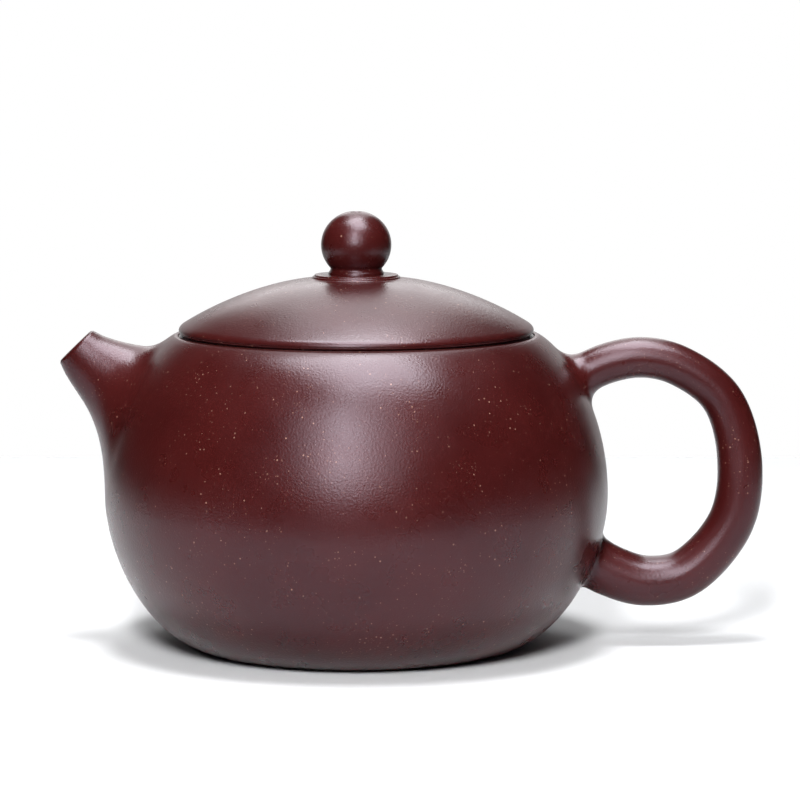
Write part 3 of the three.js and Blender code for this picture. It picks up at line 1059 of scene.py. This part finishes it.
def drilled_tree():
    """Drills rings of holes through a ball shell. The ball's middle is at the tree's origin, and
    the holes are gathered round +Z."""
    tree = new_tree(
        "drilled_ball",
        [
            ("Ball radius", "NodeSocketFloat"),
            ("Hole radius", "NodeSocketFloat"),
            ("Inner tilt", "NodeSocketFloat"),
            ("Outer tilt", "NodeSocketFloat"),
            ("Clay", "NodeSocketMaterial"),
        ],
    )
    given = add_node(tree, "NodeGroupInput").outputs
    drill = add_node(
        tree,
        "GeometryNodeMeshCylinder",
        {"Vertices": 20, "Radius": given["Hole radius"], "Depth": 6 * MM},
    ).outputs["Mesh"]
    place = add_node(tree, "GeometryNodeInputPosition").outputs[0]
    facing = add_node(
        tree, "FunctionNodeAlignRotationToVector", {"Vector": place}, axis="Z"
    ).outputs[0]
    rings = []
    for count, tilt in ((1, None), (6, given["Inner tilt"]), (12, given["Outer tilt"])):
        if tilt is None:
            across, up = 1e-6, given["Ball radius"]
        else:
            sine = arithmetic(tree, "SINE", tilt)
            cosine = arithmetic(tree, "COSINE", tilt)
            across = arithmetic(tree, "MULTIPLY", given["Ball radius"], sine)
            up = arithmetic(tree, "MULTIPLY", given["Ball radius"], cosine)
        corners = {"Vertices": max(count, 3), "Radius": across}
        circle = add_node(tree, "GeometryNodeMeshCircle", corners)
        lift = add_node(tree, "ShaderNodeCombineXYZ", {2: up}).outputs[0]
        raised = add_node(
            tree, "GeometryNodeTransform", {"Geometry": circle.outputs[0], "Translation": lift}
        ).outputs[0]
        if count == 1:
            raised = add_node(
                tree, "GeometryNodeMergeByDistance", {"Geometry": raised, "Distance": 0.01 * MM}
            ).outputs[0]
        rings.append(raised)
    joined = add_node(tree, "GeometryNodeJoinGeometry")
    for ring in reversed(rings):
        tree.links.new(ring, joined.inputs[0])
    drills = add_node(
        tree,
        "GeometryNodeInstanceOnPoints",
        {"Points": joined.outputs[0], "Instance": drill, "Rotation": facing},
    )
    made_real = add_node(tree, "GeometryNodeRealizeInstances", {"Geometry": drills.outputs[0]})
    drilled = add_node(tree, "GeometryNodeMeshBoolean", {}, operation="DIFFERENCE", solver="EXACT")
    tree.links.new(given["Geometry"], drilled.inputs["Mesh 1"])
    tree.links.new(made_real.outputs[0], drilled.inputs["Mesh 2"])
    close_tree(tree, drilled.outputs["Mesh"], given["Clay"])
    return tree


def ball_strainer():
    inside = 7.5
    outside = 9.0
    arc = np.linspace(0, math.radians(86), 22)
    line = join(
        np.stack([outside * np.sin(arc), outside * np.cos(arc)], axis=1),
        np.stack([inside * np.sin(arc[::-1]), inside * np.cos(arc[::-1])], axis=1),
    )
    shell = turned("ball_shell", line, SCRAPED, sides=64, closed=False)
    source = shell.data
    bpy.data.objects.remove(shell)
    values = {
        "Ball radius": (inside + outside) / 2 * MM,
        "Hole radius": 1.0 * MM,
        "Inner tilt": math.radians(28),
        "Outer tilt": math.radians(55),
        "Clay": SCRAPED,
    }
    made = run_tree("ball_strainer", source, drilled_tree(), values)
    centre, way = opening_place()
    middle = centre - way * WALL
    spots = np.empty(len(made.data.vertices) * 3)
    made.data.vertices.foreach_get("co", spots)
    spots = spots.reshape(-1, 3) / MM
    third = np.cross(ACROSS, -way)
    placed = middle + spots[:, :1] * third + spots[:, 1:2] * ACROSS - spots[:, 2:] * way
    made.data.vertices.foreach_set("co", (placed * MM).ravel())
    finish_mesh(made.data)
    return made


# ---------------------------------------------------------------- pieces on their bodies

PIECES = [
    (foot, "pot", "base_disc", "burnished_clay"),
    (paddled_wall, "pot", "body_wall", "burnished_clay"),
    (shoulder, "pot", "shoulder_disc", "burnished_clay"),
    (mouth_seat, "pot", "mouth_ring", "scraped_clay"),
    (pouring_spout, "pot", "spout", "burnished_clay"),
    (ball_strainer, "pot", "strainer", "scraped_clay"),
    (ear_handle, "pot", "handle", "burnished_clay"),
    (dome, "lid", "lid_dome", "burnished_clay"),
    (lip_plate, "lid", "lid_plate", "burnished_clay"),
    (flange, "lid", "lid_flange", "scraped_clay"),
    (collar, "lid", "knob_collar", "burnished_clay"),
    (ball, "lid", "knob", "burnished_clay"),
]

for make, body, node, slot_name in PIECES:
    piece = make()
    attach(piece, body)
    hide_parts(node)


# ---------------------------------------------------------------- floor, light and camera

def plain_material(name, colour, roughness):
    made = bpy.data.materials.new(name)
    made.use_nodes = True
    shader = made.node_tree.nodes["Principled BSDF"]
    shader.inputs["Base Color"].default_value = (*colour, 1)
    shader.inputs["Roughness"].default_value = roughness
    shader.inputs["Specular IOR Level"].default_value = 0.2
    return made


def pale_floor():
    half, front = 0.28, -0.16
    corners = [(-half, front, 0), (half, front, 0), (half, half, 0), (-half, half, 0)]
    mesh = bpy.data.meshes.new("floor")
    mesh.from_pydata(corners, [], [(0, 1, 2, 3)])
    mesh.materials.append(plain_material("pale_floor", (0.645, 0.652, 0.665), 0.8))
    add_object("floor", mesh)


def light_box(name, turn, lift, away, size, glow, mirrored):
    """A light that faces the pot. Its turn is 0 towards the front and 90 towards the handle. A
    mirrored one shows in the clay's sheen only, and one that isn't makes the light and shade."""
    light = bpy.data.lights.new(name, "AREA")
    light.shape = "RECTANGLE"
    light.size, light.size_y = size
    light.energy = glow * 4 * size[0] * size[1]
    made = bpy.data.objects.new(name, light)
    bpy.context.scene.collection.objects.link(made)
    turn, lift = math.radians(turn), math.radians(lift)
    level = math.cos(lift)
    way = Vector((level * math.sin(turn), -level * math.cos(turn), math.sin(lift)))
    made.location = Vector((0, 0, 0.04)) + way * away
    made.rotation_mode = "QUATERNION"
    made.rotation_quaternion = (-way).to_track_quat("-Z", "Y")
    made.visible_camera = False
    made.visible_glossy = mirrored
    made.visible_diffuse = not mirrored


def room_light(above, below, seen):
    """A dim room over a pale floor that goes on for ever; what the camera sees of it is white."""
    world = bpy.data.worlds.new("studio")
    world.use_nodes = True
    tree = world.node_tree
    tree.nodes.clear()
    way = add_node(tree, "ShaderNodeTexCoord").outputs["Generated"]
    height = add_node(tree, "ShaderNodeSeparateXYZ", {0: way}).outputs[2]
    strength = ranged(tree, height, -0.13, -0.06, below, above)
    dim = add_node(tree, "ShaderNodeBackground", {"Color": (1, 1, 1, 1), "Strength": strength})
    bright = add_node(tree, "ShaderNodeBackground", {"Color": (1, 1, 1, 1), "Strength": seen})
    ray = add_node(tree, "ShaderNodeLightPath")
    mixed = add_node(tree, "ShaderNodeMixShader", {0: ray.outputs["Is Camera Ray"]})
    tree.links.new(dim.outputs[0], mixed.inputs[1])
    tree.links.new(bright.outputs[0], mixed.inputs[2])
    add_node(tree, "ShaderNodeOutputWorld", {"Surface": mixed.outputs[0]})
    bpy.context.scene.world = world


def studio_camera():
    distance, pitch = 0.765, math.radians(6.575)
    aim = np.array([8.39, 0, 47.53]) * MM
    data = bpy.data.cameras.new("camera")
    data.sensor_width = 36
    data.lens = 178.86
    data.clip_end = 20
    made = bpy.data.objects.new("camera", data)
    bpy.context.scene.collection.objects.link(made)
    made.location = aim + distance * np.array([0, -math.cos(pitch), math.sin(pitch)])
    made.rotation_euler = (math.pi / 2 - pitch, 0, 0)
    bpy.context.scene.camera = made


# name, turn, lift, distance away, width and height, glow, mirrored
LIGHTS = [
    ("top_lamp", 0, 80, 1.0, (0.22, 0.26), 41, False),
    ("front_lamp", -5, 31, 1.0, (0.12, 0.35), 84, False),
    ("back_lamp", 178, 56, 1.0, (0.3, 0.3), 6, False),
    ("room_glow", 0, 88, 1.2, (1.6, 1.6), 0.45, False),
    ("top_box", 25, 84, 1.0, (0.66, 0.9), 11.2, True),
    ("back_box", 178, 61, 1.15, (0.6, 0.66), 2.3, True),
    ("back_fill", 180, 30, 1.2, (0.6, 0.6), 1.9, True),
    ("front_strip", -5, 29.5, 1.0, (0.3, 0.8), 7.4, True),
    ("front_fill", -3, 31, 1.1, (0.95, 0.9), 2.2, True),
    ("backdrop", 180, 6, 1.2, (1.5, 0.7), 0.55, True),
]

pale_floor()
for light in LIGHTS:
    light_box(*light)
room_light(above=0.01, below=0.1, seen=1.0)
studio_camera()
bpy.context.scene.view_settings.view_transform = "Standard"
